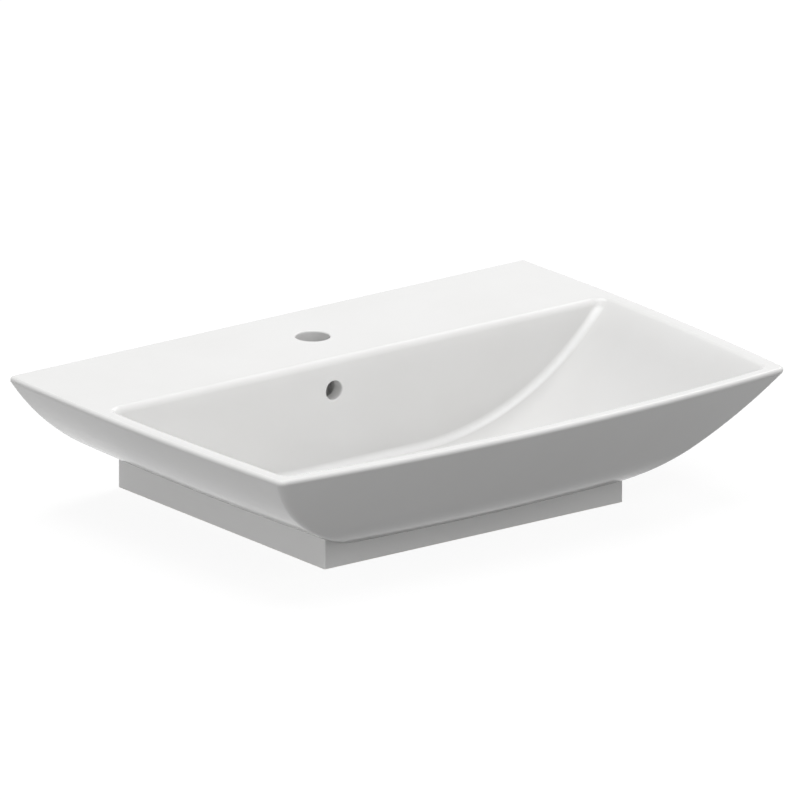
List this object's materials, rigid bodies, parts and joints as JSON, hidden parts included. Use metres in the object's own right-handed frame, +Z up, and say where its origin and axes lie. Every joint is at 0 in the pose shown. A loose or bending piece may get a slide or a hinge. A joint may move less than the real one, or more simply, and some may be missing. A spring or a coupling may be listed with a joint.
{
  "type": "semi recessed basin",
  "caption": "Wide rectangular ceramic washbasin with a swept hull on a square plinth, a tap deck, an overflow and a click waste with a sprung plug.",
  "frame": {"origin": "where the worktop's surface, the wall's surface and the basin's plane of symmetry meet: the foot of the flat back, in the middle", "axes": "+X to the right as seen from the front, +Y into the wall, +Z up from the worktop"},
  "size_m": [0.6584, 0.4664, 0.207],
  "materials": {
    "glazed_white": "smooth glossy white glaze",
    "bright_plating": "bright chrome plating on brass",
    "plain_brass": "machined brass",
    "acetal": "moulded off-white plastic",
    "black_rubber": "soft black rubber",
    "clear_nylon": "translucent washer plastic",
    "spring_steel": "drawn stainless wire"
  },
  "bodies": {
    "basin": {"basin_body": "glazed_white", "waste_body": "bright_plating", "flange_gasket": "black_rubber", "sealing_cone": "black_rubber", "slip_washer": "clear_nylon", "back_nut": "plain_brass", "cartridge_body": "acetal", "cartridge_cap": "plain_brass", "return_spring": "spring_steel"},
    "plug": {"plug_cap": "bright_plating", "plug_seal": "black_rubber", "plug_stem": "plain_brass"},
    "cam": {"cam_ring": "acetal"}
  },
  "joints": [
    {"name": "plug_slide", "type": "slide", "parent": "basin", "child": "plug", "axis": [0, 0, -1], "range_m": [0, 0.0085], "stiffness_N_per_m": 600, "springref_m": -0.004, "deforming": ["return_spring"]},
    {"name": "cam_turn", "type": "hinge", "parent": "basin", "child": "cam", "pos_m": [0, -0.25, -0.007], "axis": [0, 0, 1], "range_deg": [0, 45]}
  ],
  "couplings": [
    {"joint": "cam_turn", "follows": "plug_slide", "rad_per_m": 92.39}
  ]
}
